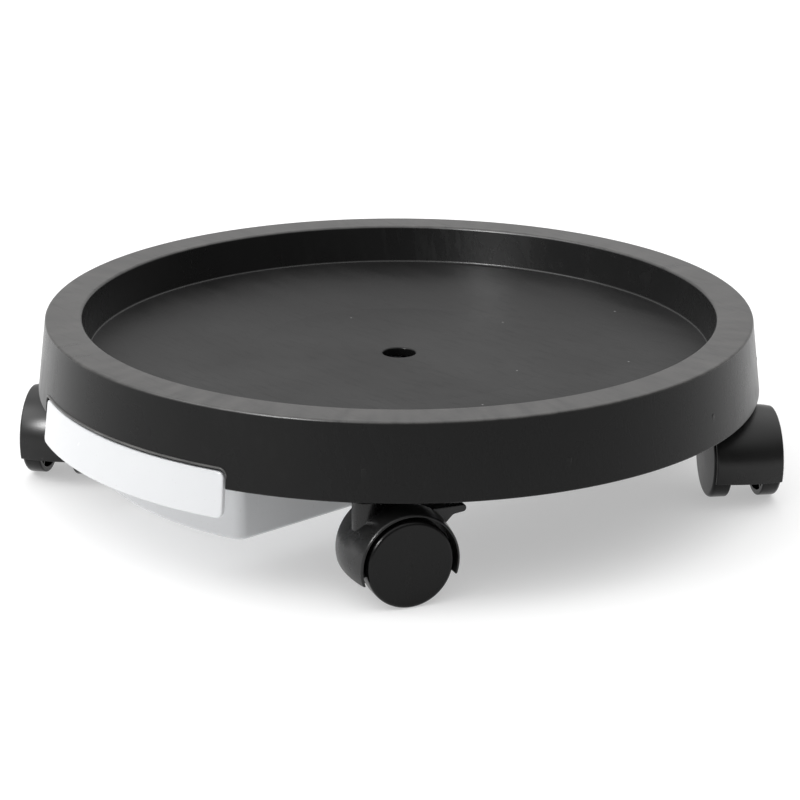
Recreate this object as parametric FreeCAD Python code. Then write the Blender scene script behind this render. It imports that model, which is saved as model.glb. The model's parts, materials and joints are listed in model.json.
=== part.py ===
# Plant pot caddy: a round deck on four swivel castors, with a water drawer that slides out below it.
#
# Frame: the origin is the centre of the drain hole's mouth, on the deck's floor. +Z is up, and the drawer
# slides out towards -Y. Each castor is drawn in its own local frame, with its stem on the Z axis and its
# wheels trailing towards +X, and is then turned and moved to its corner. All lengths are millimetres.
import FreeCAD, Part
import math
import os

# Deck: outer wall, flat rim and the sunken floor the pot stands on.
RIM_Z = 23.0                # top of the rim above the floor
RIM_OUTER_R = 170.5
RIM_INNER_R = 153.0
WALL_HEIGHT = 35.6          # rim top to the wall's lower edge
WALL_FOOT_R = 175.0         # the wall flares out to this radius at its lower edge
FLOOR_FLAT_R = 75.0         # flat middle of the floor
FLOOR_EDGE_R = 151.2
FLOOR_EDGE_Z = 3.7          # the floor rises this much from its flat middle to the inner wall
FLOOR_T = 2.6
WALL_T = 2.4
DRAIN_R = 8.0
DRAIN_COLLAR_R = 10.2
DRAIN_LENGTH = 4.4
WALL_FOOT_Z = RIM_Z - WALL_HEIGHT
RIM_UNDER_Z = RIM_Z - FLOOR_T
RIM_OUTER_ROUND = 2.0
RIM_INNER_ROUND = 1.4
FLOOR_ROUND = 0.8
WALL_FOOT_ROUND = 0.7

# Ribs under the floor and inside the hollow rim.
RIB_COUNT = 12
RIB_T = 2.0
RIB_INNER_R = 24.0
RIB_LOW_Z = -9.0
HOOP_R = 112.0
CHANNEL_MARGIN = 1.0        # ribs stop this far from the drawer's rails

# Stand height, from the wheels' lowest points to the top of the rim.
OVERALL_HEIGHT = 84.8
GROUND_Z = RIM_Z - OVERALL_HEIGHT

# Castors.
STEM_CIRCLE_R = 162.8
CASTOR_TURN = -1.8          # the four stems sit this far round from the diagonals
STEM_R = 4.0
STEM_TOP_Z = 10.0
STEM_LOW_Z = -37.5
STEM_TIP_CHAMFER = 1.2
STEM_FOOT_CHAMFER = 0.6
STEM_GROOVE_R = 3.3
STEM_GROOVE_Z = 6.0
STEM_GROOVE_W = 1.2
RING_TURN = 320.0           # the grip ring is split, so it can spring in
STEM_COLLAR_R = 5.6
STEM_COLLAR_T = 1.0
SOCKET_R = 5.6
SOCKET_TOP_Z = 12.0
SOCKET_FLANGE_R = 7.6
SOCKET_FLANGE_T = 0.8
BOSS_R = 7.6
NECK_R = 5.8
NECK_ROUND = 0.6
NECK_GAP = 0.3              # running gap between the stem's collar and the neck
RUNNING_GAP = 0.05          # radial clearance of every turning shaft
TRAIL = 15.0                # stem axis to wheel axle
WHEEL_R = 20.0
AXLE_Z = GROUND_Z + WHEEL_R
AXLE_R = 2.5
AXLE_HALF = 15.2
WHEEL_INNER = 7.8           # wheel faces, from the castor's middle plane
WHEEL_OUTER = 17.0
WHEEL_DOME = 0.4
WHEEL_SHOULDER = 1.8
WHEEL_CHAMFER = 0.6
WHEEL_HUB_R = 5.2
WHEEL_RIM_T = 2.6
WHEEL_DISC_T = 2.4
WHEEL_BORE_END = 15.4
SPOKES = 6
SPOKE_T = 1.6
HOOD_HALF = 16.2            # half width of the hood over both wheels
HOOD_EDGE_R = 23.1
HOOD_CROWN_R = 24.6
HOOD_ROUND = 1.0
HOOD_DROP = 7.0             # the hood's lower edge below the axle
WHEEL_WELL_R = 22.0
WEB_HALF = 7.3              # half thickness of the web between the wheels
WEB_POCKET_HALF = 4.6
WEB_POCKET_TOP = 3.0        # above the axle
WEB_POCKET_WALL = 2.0

# Brake lever in an open slot in the hood, measured from the axle: along the trail, then up.
LEVER_HALF = 5.0
LEVER_PIVOT = (13.5, 12.5)
LEVER_PIN_R = 1.5
LEVER_PIN_HALF = 6.9
LEVER_TIP = (28.9, 18.4)
LEVER_TIP_R = 1.6
LEVER_TOP = LEVER_TIP[1] + LEVER_TIP_R
LEVER_UNDER = LEVER_TIP[1] - LEVER_TIP_R
LEVER_PROFILE = ((9.0, LEVER_TOP), (LEVER_TIP[0], LEVER_TOP), (LEVER_TIP[0], LEVER_UNDER),
                 (24.3, 16.0), (20.5, 12.0), (16.5, 9.0), (9.0, 9.0))
SLOT_START = 7.5
SLOT_HALF = 5.3
SLOT_FLOOR = 5.5

# Corner name: bearing of the stem from +X, rest direction of the trail from +X, and whether it has a brake.
CASTORS = {
    "front_right": (-45.0 + CASTOR_TURN, 70.0, True),
    "back_right": (45.0 + CASTOR_TURN, -34.5, False),
    "front_left": (-135.0 + CASTOR_TURN, -51.0, False),
    "back_left": (135.0 + CASTOR_TURN, 160.0, True),
}

# Drawer: a deep tray on two side lips, with a curved handle that completes the deck's wall.
HANDLE_HALF_ANGLE = 22.5
HANDLE_TOP_Z = -5.0
HANDLE_FOOT_Z = -26.0
HANDLE_T = 3.0
HANDLE_CORNER = 3.0
NOTCH_HALF_ANGLE = 22.9
NOTCH_TOP_Z = -4.0
NOTCH_CORNER = 3.5
TRAY_HALF = 52.0
TRAY_FRONT_R = 150.0
TRAY_BACK_Y = 50.0
TRAY_TOP_Z = -5.6
TRAY_FOOT_Z = -47.0
TRAY_T = 2.2
TRAY_CORNER = 9.0
TRAY_FOOT_ROUND = 2.0
LIP_HALF = 59.2
LIP_T = 2.4
LIP_FRONT_Y = -136.0
APRON_T = 2.4
GUSSET_ANGLE = 14.0
GUSSET_T = 2.0
GUSSET_OUTER_DEPTH = 4.0
GUSSET_INNER_DEPTH = 14.0

# Drawer rails: Z-section strips screwed to bosses under the floor.
RAIL_FRONT_Y = -138.0
RAIL_BACK_Y = 52.0
RAIL_T = 2.4
RAIL_FOOT_X = 54.0
RAIL_WEB_X = 60.0
RAIL_FLANGE_X = 74.0
RAIL_TOP_Z = -2.8
RAIL_FOOT_Z = -8.2
RAIL_FLANGE_Z = -7.6
RAIL_STOP_T = 1.4
RAIL_STOP_TOP_Z = -4.6
SCREW_X = 68.5
SCREW_YS = (-110.0, -35.0, 40.0)
SCREW_BOSS_R = 4.2
SCREW_HOLE_R = 1.7
SCREW_R = 1.4
SCREW_TIP_Z = -3.6
SCREW_HEAD_R = 3.0
SCREW_HEAD_T = 2.0
SCREW_HEAD_CHAMFER = 0.8
SCREW_SLOT_REACH = 1.8
SCREW_SLOT_W = 0.9
SCREW_SLOT_DEPTH = 1.1

Z_AXIS = FreeCAD.Vector(0, 0, 1)
Y_AXIS = FreeCAD.Vector(0, 1, 0)
ORIGIN = FreeCAD.Vector(0, 0, 0)


def face_of(points):
    """Flat face inside a closed polygon of vectors."""
    return Part.Face(Part.makePolygon(points + [points[0]]))


def turned(profile):
    """Solid of revolution about Z from (radius, height) points."""
    return face_of([FreeCAD.Vector(r, 0, z) for r, z in profile]).revolve(ORIGIN, Z_AXIS, 360)


def sector(profile, half_angle):
    """Part turn of a (radius, height) profile, centred on the drawer's direction, -Y."""
    face = face_of([FreeCAD.Vector(r, 0, z) for r, z in profile])
    face.rotate(ORIGIN, Z_AXIS, -90 - half_angle)
    return face.revolve(ORIGIN, Z_AXIS, 2 * half_angle)


def cylinder(radius, low, high, x=0.0, y=0.0):
    """Upright cylinder between two heights."""
    return Part.makeCylinder(radius, high - low, FreeCAD.Vector(x, y, low))


def box(low, high):
    """Box between two opposite corners."""
    size = [high[i] - low[i] for i in range(3)]
    return Part.makeBox(size[0], size[1], size[2], FreeCAD.Vector(*low))


def cross_cylinder(radius, low, high, x, z):
    """Cylinder along Y between two y values."""
    return Part.makeCylinder(radius, high - low, FreeCAD.Vector(x, low, z), Y_AXIS)


def plate(points, half_thickness):
    """Plate in the XZ plane from (x, z) points, with its thickness along Y."""
    face = face_of([FreeCAD.Vector(x, -half_thickness, z) for x, z in points])
    return face.extrude(FreeCAD.Vector(0, 2 * half_thickness, 0))


def ring_edges(shape, radius, height):
    """Circular edges of a turned shape at a given radius and height."""
    found = []
    for edge in shape.Edges:
        low_enough = abs(edge.BoundBox.ZMin - height) < 0.01 and abs(edge.BoundBox.ZMax - height) < 0.01
        if low_enough and hasattr(edge.Curve, "Radius") and abs(edge.Curve.Radius - radius) < 0.01:
            found.append(edge)
    return found


def radial_edges(shape, height):
    """Straight level edges at a given height: the square corners of a sector."""
    found = []
    for edge in shape.Edges:
        level = abs(edge.BoundBox.ZMin - height) < 0.01 and abs(edge.BoundBox.ZMax - height) < 0.01
        if level and isinstance(edge.Curve, Part.Line):
            found.append(edge)
    return found


def upright_edges(shape):
    """Straight edges that run along Z."""
    found = []
    for edge in shape.Edges:
        if isinstance(edge.Curve, Part.Line) and abs(abs(edge.Curve.Direction.z) - 1) < 1e-6:
            found.append(edge)
    return found


def wall_r(height):
    """Radius of the outer wall's outer face at a height. The handle carries the same flare further down."""
    return RIM_OUTER_R + (RIM_Z - height) * (WALL_FOOT_R - RIM_OUTER_R) / WALL_HEIGHT


def around(shape, bearing):
    """Copy of a shape turned about the deck's centre."""
    copy = shape.copy()
    copy.rotate(ORIGIN, Z_AXIS, bearing)
    return copy


def stem_place(bearing):
    """Centre of the castor stem at a bearing."""
    angle = math.radians(bearing)
    return FreeCAD.Vector(STEM_CIRCLE_R * math.cos(angle), STEM_CIRCLE_R * math.sin(angle), 0)


def placed(shape, bearing, trail_direction):
    """Move a castor piece from its local frame to its corner."""
    copy = shape.copy()
    copy.rotate(ORIGIN, Z_AXIS, trail_direction)
    copy.translate(stem_place(bearing))
    return copy


def floor_core_z(r):
    """Height of the middle of the floor's thickness at a radius."""
    rise = FLOOR_EDGE_Z * (r - FLOOR_FLAT_R) / (FLOOR_EDGE_R - FLOOR_FLAT_R)
    return max(rise, 0) - FLOOR_T / 2


def deck_shell():
    """Dished floor, inner wall, rim and outer wall in one turned section."""
    shell = turned([
        (DRAIN_R, 0),
        (FLOOR_FLAT_R, 0),
        (FLOOR_EDGE_R, FLOOR_EDGE_Z),
        (RIM_INNER_R, RIM_Z),
        (RIM_OUTER_R, RIM_Z),
        (WALL_FOOT_R, WALL_FOOT_Z),
        (WALL_FOOT_R - WALL_T, WALL_FOOT_Z),
        (wall_r(RIM_UNDER_Z) - WALL_T, RIM_UNDER_Z),
        (RIM_INNER_R + WALL_T, RIM_UNDER_Z),
        (FLOOR_EDGE_R + WALL_T, FLOOR_EDGE_Z - FLOOR_T),
        (FLOOR_FLAT_R, -FLOOR_T),
        (DRAIN_COLLAR_R, -FLOOR_T),
        (DRAIN_COLLAR_R, -DRAIN_LENGTH),
        (DRAIN_R, -DRAIN_LENGTH),
    ])
    shell = shell.makeFillet(RIM_OUTER_ROUND, ring_edges(shell, RIM_OUTER_R, RIM_Z))
    shell = shell.makeFillet(RIM_INNER_ROUND, ring_edges(shell, RIM_INNER_R, RIM_Z))
    shell = shell.makeFillet(FLOOR_ROUND, ring_edges(shell, FLOOR_EDGE_R, FLOOR_EDGE_Z))
    return shell.makeFillet(WALL_FOOT_ROUND, ring_edges(shell, WALL_FOOT_R, WALL_FOOT_Z))


def deck_ribs():
    """Radial ribs and one hoop under the floor, kept clear of the drawer's channel."""
    rib = plate([(RIB_INNER_R, RIB_LOW_Z), (wall_r(RIB_LOW_Z) - WALL_T / 2, RIB_LOW_Z),
                 (wall_r(0) - WALL_T / 2, 0), (wall_r(RIM_Z) - WALL_T, RIM_Z - FLOOR_T / 2),
                 (RIM_INNER_R + WALL_T / 2, RIM_Z - FLOOR_T / 2),
                 (FLOOR_EDGE_R, floor_core_z(FLOOR_EDGE_R)), (FLOOR_FLAT_R, floor_core_z(FLOOR_FLAT_R)),
                 (RIB_INNER_R, floor_core_z(RIB_INNER_R))], RIB_T / 2)
    half_pitch = 180.0 / RIB_COUNT
    ribs = turned([(HOOP_R, RIB_LOW_Z), (HOOP_R + RIB_T, RIB_LOW_Z),
                   (HOOP_R + RIB_T, floor_core_z(HOOP_R)), (HOOP_R, floor_core_z(HOOP_R))])
    for i in range(RIB_COUNT):
        ribs = ribs.fuse(around(rib, half_pitch + i * 2 * half_pitch + CASTOR_TURN))
    channel_x = RAIL_FLANGE_X + CHANNEL_MARGIN
    channel = box((-channel_x, -WALL_FOOT_R, RIB_LOW_Z - CHANNEL_MARGIN),
                  (channel_x, RAIL_BACK_Y + CHANNEL_MARGIN, -FLOOR_T))
    return ribs.cut(channel)


def notch():
    """Opening in the wall's lower edge that the handle fills, with rounded upper corners."""
    inner_r = FLOOR_EDGE_R + 2 * WALL_T
    outer_r = WALL_FOOT_R + 5
    low = WALL_FOOT_Z - 5
    opening = sector([(inner_r, low), (outer_r, low), (outer_r, NOTCH_TOP_Z), (inner_r, NOTCH_TOP_Z)],
                     NOTCH_HALF_ANGLE)
    return opening.makeFillet(NOTCH_CORNER, radial_edges(opening, NOTCH_TOP_Z))


def make_deck():
    """The deck moulding with its ribs, castor bosses, rail bosses and handle notch."""
    deck = deck_shell().fuse(deck_ribs())
    for bearing, trail_direction, braked in CASTORS.values():
        place = stem_place(bearing)
        deck = deck.fuse(cylinder(BOSS_R, WALL_FOOT_Z, RIM_Z - FLOOR_T / 2, place.x, place.y))
    for side in (-1, 1):
        for y in SCREW_YS:
            top = floor_core_z(math.hypot(SCREW_X, y))
            deck = deck.fuse(cylinder(SCREW_BOSS_R, RAIL_FLANGE_Z, top, side * SCREW_X, y))
    for bearing, trail_direction, braked in CASTORS.values():
        place = stem_place(bearing)
        deck = deck.cut(cylinder(SOCKET_R, WALL_FOOT_Z - 1, SOCKET_TOP_Z, place.x, place.y))
    for side in (-1, 1):
        for y in SCREW_YS:
            deck = deck.cut(cylinder(SCREW_R, RAIL_FLANGE_Z - 1, SCREW_TIP_Z, side * SCREW_X, y))
    return deck.cut(notch()).removeSplitter()


def tray_block(half, front_r, back_y, corner, low, high):
    """Solid with the tray's plan: straight sides and back, front curved about the deck's centre."""
    block = cylinder(front_r, low, high).common(box((-half, -front_r - 1, low), (half, back_y, high)))
    return block.makeFillet(corner, upright_edges(block))


def make_drawer():
    """The water tray, its side lips, the apron and the handle, in one moulding."""
    tray = tray_block(TRAY_HALF, TRAY_FRONT_R, TRAY_BACK_Y, TRAY_CORNER, TRAY_FOOT_Z, TRAY_TOP_Z)
    foot_edges = [e for e in tray.Edges if abs(e.BoundBox.ZMax - TRAY_FOOT_Z) < 0.01]
    tray = tray.makeFillet(TRAY_FOOT_ROUND, foot_edges)
    for side in (-1, 1):
        xs = sorted((side * (TRAY_HALF - TRAY_T), side * LIP_HALF))
        tray = tray.fuse(box((xs[0], LIP_FRONT_Y, TRAY_TOP_Z - LIP_T), (xs[1], TRAY_BACK_Y, TRAY_TOP_Z)))
    apron_foot = HANDLE_TOP_Z - APRON_T
    apron_outer = wall_r(HANDLE_TOP_Z) - HANDLE_T / 2
    apron_inner = TRAY_FRONT_R - TRAY_T
    apron = [(apron_inner, apron_foot), (apron_outer, apron_foot),
             (apron_outer, HANDLE_TOP_Z), (apron_inner, HANDLE_TOP_Z)]
    tray = tray.fuse(sector(apron, HANDLE_HALF_ANGLE - 1))
    gusset_inner = TRAY_FRONT_R - TRAY_T / 2
    gusset_top = apron_foot + APRON_T / 2
    gusset = plate([(gusset_inner, gusset_top), (apron_outer, gusset_top),
                    (apron_outer, apron_foot - GUSSET_OUTER_DEPTH),
                    (gusset_inner, apron_foot - GUSSET_INNER_DEPTH)], GUSSET_T / 2)
    for turn in (-GUSSET_ANGLE, GUSSET_ANGLE):
        tray = tray.fuse(around(gusset, -90 + turn))
    hollow = tray_block(TRAY_HALF - TRAY_T, TRAY_FRONT_R - TRAY_T, TRAY_BACK_Y - TRAY_T,
                        TRAY_CORNER - TRAY_T, TRAY_FOOT_Z + TRAY_T, 0)
    tray = tray.cut(hollow)
    foot_r = wall_r(HANDLE_FOOT_Z)
    top_r = wall_r(HANDLE_TOP_Z)
    handle = sector([(foot_r - HANDLE_T, HANDLE_FOOT_Z), (foot_r, HANDLE_FOOT_Z),
                     (top_r, HANDLE_TOP_Z), (top_r - HANDLE_T, HANDLE_TOP_Z)], HANDLE_HALF_ANGLE)
    corners = radial_edges(handle, HANDLE_TOP_Z) + radial_edges(handle, HANDLE_FOOT_Z)
    handle = handle.makeFillet(HANDLE_CORNER, corners)
    return tray.fuse(handle).removeSplitter()


def make_rail(side):
    """One drawer rail: foot under the drawer's lip, upright web, screwed flange and back stop."""
    web_outer_x = RAIL_WEB_X + RAIL_T
    section = [(RAIL_FOOT_X, RAIL_FOOT_Z - RAIL_T), (RAIL_FOOT_X, RAIL_FOOT_Z), (RAIL_WEB_X, RAIL_FOOT_Z),
               (RAIL_WEB_X, RAIL_TOP_Z), (web_outer_x, RAIL_TOP_Z), (web_outer_x, RAIL_FLANGE_Z),
               (RAIL_FLANGE_X, RAIL_FLANGE_Z), (RAIL_FLANGE_X, RAIL_FLANGE_Z - RAIL_T),
               (web_outer_x, RAIL_FLANGE_Z - RAIL_T), (web_outer_x, RAIL_FOOT_Z - RAIL_T)]
    face = face_of([FreeCAD.Vector(side * x, RAIL_FRONT_Y, z) for x, z in section])
    rail = face.extrude(FreeCAD.Vector(0, RAIL_BACK_Y - RAIL_FRONT_Y, 0))
    xs = sorted((side * RAIL_FOOT_X, side * (RAIL_WEB_X + RAIL_T / 2)))
    rail = rail.fuse(box((xs[0], RAIL_BACK_Y - RAIL_STOP_T, RAIL_FOOT_Z - RAIL_T / 2),
                         (xs[1], RAIL_BACK_Y, RAIL_STOP_TOP_Z)))
    for y in SCREW_YS:
        rail = rail.cut(cylinder(SCREW_HOLE_R, RAIL_FOOT_Z - 2 * RAIL_T, 0, side * SCREW_X, y))
    return rail.removeSplitter()


def make_screw(x, y):
    """Pan-head screw, driven up through the rail's flange, with a cross slot in its head."""
    seat = RAIL_FLANGE_Z - RAIL_T
    head_foot = seat - SCREW_HEAD_T
    screw = turned([(0, head_foot), (SCREW_HEAD_R - SCREW_HEAD_CHAMFER, head_foot),
                    (SCREW_HEAD_R, head_foot + SCREW_HEAD_CHAMFER), (SCREW_HEAD_R, seat), (SCREW_R, seat),
                    (SCREW_R, SCREW_TIP_Z), (0, SCREW_TIP_Z)])
    half = SCREW_SLOT_W / 2
    slot_top = head_foot + SCREW_SLOT_DEPTH
    screw = screw.cut(box((-SCREW_SLOT_REACH, -half, head_foot - 1), (SCREW_SLOT_REACH, half, slot_top)))
    screw = screw.cut(box((-half, -SCREW_SLOT_REACH, head_foot - 1), (half, SCREW_SLOT_REACH, slot_top)))
    screw.translate(FreeCAD.Vector(x, y, 0))
    return screw


def make_socket():
    """Sleeve pressed into a boss, with a flange under the boss, that grips the castor's stem."""
    return turned([(STEM_R, WALL_FOOT_Z - SOCKET_FLANGE_T), (SOCKET_FLANGE_R, WALL_FOOT_Z - SOCKET_FLANGE_T),
                   (SOCKET_FLANGE_R, WALL_FOOT_Z), (SOCKET_R, WALL_FOOT_Z), (SOCKET_R, SOCKET_TOP_Z),
                   (STEM_R, SOCKET_TOP_Z)])


def make_stem():
    """Steel stem: chamfered tip, snap groove, collar under the socket and a plain lower journal."""
    collar_top = WALL_FOOT_Z - SOCKET_FLANGE_T
    groove_top = STEM_GROOVE_Z + STEM_GROOVE_W
    return turned([(0, STEM_LOW_Z), (STEM_R - STEM_FOOT_CHAMFER, STEM_LOW_Z),
                   (STEM_R, STEM_LOW_Z + STEM_FOOT_CHAMFER),
                   (STEM_R, collar_top - STEM_COLLAR_T), (STEM_COLLAR_R, collar_top - STEM_COLLAR_T),
                   (STEM_COLLAR_R, collar_top), (STEM_R, collar_top), (STEM_R, STEM_GROOVE_Z),
                   (STEM_GROOVE_R, STEM_GROOVE_Z), (STEM_GROOVE_R, groove_top), (STEM_R, groove_top),
                   (STEM_R, STEM_TOP_Z - STEM_TIP_CHAMFER), (STEM_R - STEM_TIP_CHAMFER, STEM_TOP_Z),
                   (0, STEM_TOP_Z)])


def make_ring():
    """Split spring ring in the stem's groove, which grips the socket."""
    groove_top = STEM_GROOVE_Z + STEM_GROOVE_W
    section = [(STEM_GROOVE_R, STEM_GROOVE_Z), (STEM_R, STEM_GROOVE_Z),
               (STEM_R, groove_top), (STEM_GROOVE_R, groove_top)]
    return face_of([FreeCAD.Vector(r, 0, z) for r, z in section]).revolve(ORIGIN, Z_AXIS, RING_TURN)


def hood_blank():
    """Crowned drum about the axle, from which the hood is cut."""
    def at(y, r):
        return FreeCAD.Vector(TRAIL + r, y, AXLE_Z)
    near = HOOD_HALF - HOOD_ROUND
    mid = HOOD_ROUND * (1 - math.sqrt(0.5))
    edges = [
        Part.makeLine(at(-HOOD_HALF, 0), at(-HOOD_HALF, HOOD_EDGE_R - HOOD_ROUND)),
        Part.Arc(at(-HOOD_HALF, HOOD_EDGE_R - HOOD_ROUND), at(-HOOD_HALF + mid, HOOD_EDGE_R - mid),
                 at(-near, HOOD_EDGE_R)).toShape(),
        Part.Arc(at(-near, HOOD_EDGE_R), at(0, HOOD_CROWN_R), at(near, HOOD_EDGE_R)).toShape(),
        Part.Arc(at(near, HOOD_EDGE_R), at(HOOD_HALF - mid, HOOD_EDGE_R - mid),
                 at(HOOD_HALF, HOOD_EDGE_R - HOOD_ROUND)).toShape(),
        Part.makeLine(at(HOOD_HALF, HOOD_EDGE_R - HOOD_ROUND), at(HOOD_HALF, 0)),
        Part.makeLine(at(HOOD_HALF, 0), at(-HOOD_HALF, 0)),
    ]
    face = Part.Face(Part.Wire(edges))
    return face.revolve(FreeCAD.Vector(TRAIL, 0, AXLE_Z), Y_AXIS, 360)


def neck_top():
    """Top of the castor's neck, a running gap below the stem's collar."""
    return WALL_FOOT_Z - SOCKET_FLANGE_T - STEM_COLLAR_T - NECK_GAP


def make_housing(braked):
    """Castor housing: neck, hood over both wheels and the web between them."""
    foot = AXLE_Z - HOOD_DROP
    neck = cylinder(NECK_R, foot, neck_top())
    neck = neck.makeFillet(NECK_ROUND, ring_edges(neck, NECK_R, neck_top()))
    housing = hood_blank().fuse(neck)
    for side in (-1, 1):
        ys = sorted((side * WEB_HALF, side * (HOOD_HALF + 1)))
        housing = housing.cut(cross_cylinder(WHEEL_WELL_R, ys[0], ys[1], TRAIL, AXLE_Z))
    reach = HOOD_CROWN_R + TRAIL
    housing = housing.cut(box((-reach, -reach, foot - reach), (2 * reach, reach, foot)))
    housing = housing.cut(cylinder(STEM_R + RUNNING_GAP, STEM_LOW_Z - 1, 0))
    housing = housing.cut(cross_cylinder(AXLE_R, -HOOD_HALF, HOOD_HALF, TRAIL, AXLE_Z))
    pocket_end = TRAIL + WHEEL_WELL_R - WEB_POCKET_WALL
    housing = housing.cut(box((TRAIL + 2 * AXLE_R, -WEB_POCKET_HALF, foot - 1),
                              (pocket_end, WEB_POCKET_HALF, AXLE_Z + WEB_POCKET_TOP)))
    if braked:
        housing = housing.cut(box((TRAIL + SLOT_START, -SLOT_HALF, AXLE_Z + SLOT_FLOOR),
                                  (TRAIL + 2 * WHEEL_R, SLOT_HALF, AXLE_Z + HOOD_CROWN_R + 1)))
        housing = housing.cut(cross_cylinder(LEVER_PIN_R, -LEVER_PIN_HALF, LEVER_PIN_HALF,
                                             TRAIL + LEVER_PIVOT[0], AXLE_Z + LEVER_PIVOT[1]))
    return housing.removeSplitter()


def make_axle():
    """Steel axle held in the web, with a wheel on each end."""
    return cross_cylinder(AXLE_R, -AXLE_HALF, AXLE_HALF, TRAIL, AXLE_Z)


def make_wheel(side):
    """One wheel: plain domed outer face, rounded shoulder, flat tread, spoked hollow on the inner side."""
    dome_r = WHEEL_R - WHEEL_SHOULDER
    shoulder_y = WHEEL_OUTER - WHEEL_DOME
    mid = WHEEL_SHOULDER * (1 - math.sqrt(0.5))

    def at(y, r):
        return FreeCAD.Vector(TRAIL + r, side * y, AXLE_Z)
    disc_y = WHEEL_OUTER - WHEEL_DISC_T
    corners = [at(shoulder_y - WHEEL_SHOULDER, WHEEL_R), at(WHEEL_INNER + WHEEL_CHAMFER, WHEEL_R),
               at(WHEEL_INNER, WHEEL_R - WHEEL_CHAMFER), at(WHEEL_INNER, WHEEL_R - WHEEL_RIM_T),
               at(disc_y, WHEEL_R - WHEEL_RIM_T), at(disc_y, WHEEL_HUB_R),
               at(WHEEL_INNER, WHEEL_HUB_R), at(WHEEL_INNER, AXLE_R + RUNNING_GAP),
               at(WHEEL_BORE_END, AXLE_R + RUNNING_GAP), at(WHEEL_BORE_END, 0), at(WHEEL_OUTER, 0)]
    edges = [Part.makeLine(corners[i], corners[i + 1]) for i in range(len(corners) - 1)]
    edges.append(Part.Arc(at(WHEEL_OUTER, 0), at(WHEEL_OUTER - WHEEL_DOME / 4, dome_r / 2),
                          at(shoulder_y, dome_r)).toShape())
    edges.append(Part.Arc(at(shoulder_y, dome_r), at(shoulder_y - mid, WHEEL_R - mid),
                          at(shoulder_y - WHEEL_SHOULDER, WHEEL_R)).toShape())
    wheel = Part.Face(Part.Wire(edges)).revolve(FreeCAD.Vector(TRAIL, 0, AXLE_Z), Y_AXIS, 360)
    ys = sorted((side * (WHEEL_INNER + 1), side * (WHEEL_OUTER - WHEEL_DISC_T / 2)))
    spoke = box((WHEEL_HUB_R - 1, ys[0], -SPOKE_T / 2), (WHEEL_R - WHEEL_RIM_T / 2, ys[1], SPOKE_T / 2))
    for i in range(SPOKES):
        turned_spoke = spoke.copy()
        turned_spoke.rotate(ORIGIN, Y_AXIS, i * 360.0 / SPOKES)
        turned_spoke.translate(FreeCAD.Vector(TRAIL, 0, AXLE_Z))
        wheel = wheel.fuse(turned_spoke)
    return wheel.removeSplitter()


def make_lever():
    """Brake lever: a flat tongue with a rounded tip that pivots between the wheels."""
    lever = plate([(TRAIL + x, AXLE_Z + z) for x, z in LEVER_PROFILE], LEVER_HALF)
    lever = lever.fuse(cross_cylinder(LEVER_TIP_R, -LEVER_HALF, LEVER_HALF,
                                      TRAIL + LEVER_TIP[0], AXLE_Z + LEVER_TIP[1]))
    return lever.cut(cross_cylinder(LEVER_PIN_R + RUNNING_GAP, -LEVER_HALF, LEVER_HALF,
                                    TRAIL + LEVER_PIVOT[0], AXLE_Z + LEVER_PIVOT[1])).removeSplitter()


def make_lever_pin():
    """Steel pin the lever turns on, held at both ends in the web."""
    return cross_cylinder(LEVER_PIN_R, -LEVER_PIN_HALF, LEVER_PIN_HALF, TRAIL + LEVER_PIVOT[0],
                          AXLE_Z + LEVER_PIVOT[1])


def make_parts():
    """Every sub-part under its node name, in its rest position."""
    parts = {"deck": make_deck(), "drawer": make_drawer()}
    for label, side in (("left", -1), ("right", 1)):
        parts["rail_" + label] = make_rail(side)
        for place, y in zip(("front", "middle", "back"), SCREW_YS):
            parts["rail_screw_" + label + "_" + place] = make_screw(side * SCREW_X, y)
    for corner, (bearing, trail_direction, braked) in CASTORS.items():
        pieces = {"castor_socket_": make_socket(), "castor_stem_": make_stem(), "castor_ring_": make_ring(),
                  "castor_housing_": make_housing(braked), "castor_axle_": make_axle(),
                  "castor_wheel_a_": make_wheel(1), "castor_wheel_b_": make_wheel(-1)}
        if braked:
            pieces["brake_lever_"] = make_lever()
            pieces["brake_pin_"] = make_lever_pin()
        for label, shape in pieces.items():
            parts[label + corner] = placed(shape, bearing, trail_direction)
    return parts


os.makedirs("parts", exist_ok=True)
for node, shape in make_parts().items():
    if len(shape.Solids) == 1:
        shape = shape.Solids[0]
    shape.exportStep("parts/" + node + ".step")
    print(node, len(shape.Solids), shape.isValid(), round(shape.Volume))
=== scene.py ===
import json
import math
import bpy
import bmesh
from mathutils import Matrix, Vector


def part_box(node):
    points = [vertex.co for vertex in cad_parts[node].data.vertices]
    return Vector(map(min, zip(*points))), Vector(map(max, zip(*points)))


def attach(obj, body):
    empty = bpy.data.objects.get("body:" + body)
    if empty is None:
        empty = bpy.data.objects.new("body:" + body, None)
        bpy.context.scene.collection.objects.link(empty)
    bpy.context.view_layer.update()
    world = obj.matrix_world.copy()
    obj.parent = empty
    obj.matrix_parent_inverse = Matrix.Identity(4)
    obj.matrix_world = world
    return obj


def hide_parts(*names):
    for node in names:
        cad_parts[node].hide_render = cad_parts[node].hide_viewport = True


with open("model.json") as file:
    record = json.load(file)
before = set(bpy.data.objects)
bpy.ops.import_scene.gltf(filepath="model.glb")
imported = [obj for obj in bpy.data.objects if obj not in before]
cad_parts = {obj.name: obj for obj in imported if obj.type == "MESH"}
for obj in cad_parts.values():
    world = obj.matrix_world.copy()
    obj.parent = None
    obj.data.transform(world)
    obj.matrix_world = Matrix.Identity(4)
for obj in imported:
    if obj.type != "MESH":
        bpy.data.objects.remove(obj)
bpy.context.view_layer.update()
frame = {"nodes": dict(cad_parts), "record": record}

MM = 0.001
CORNERS = ("front_right", "back_right", "front_left", "back_left")
BRAKED = ("front_right", "back_left")
SLOTS = {part["node"]: part["material_slot"] for part in frame["record"]["subparts"]}
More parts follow.
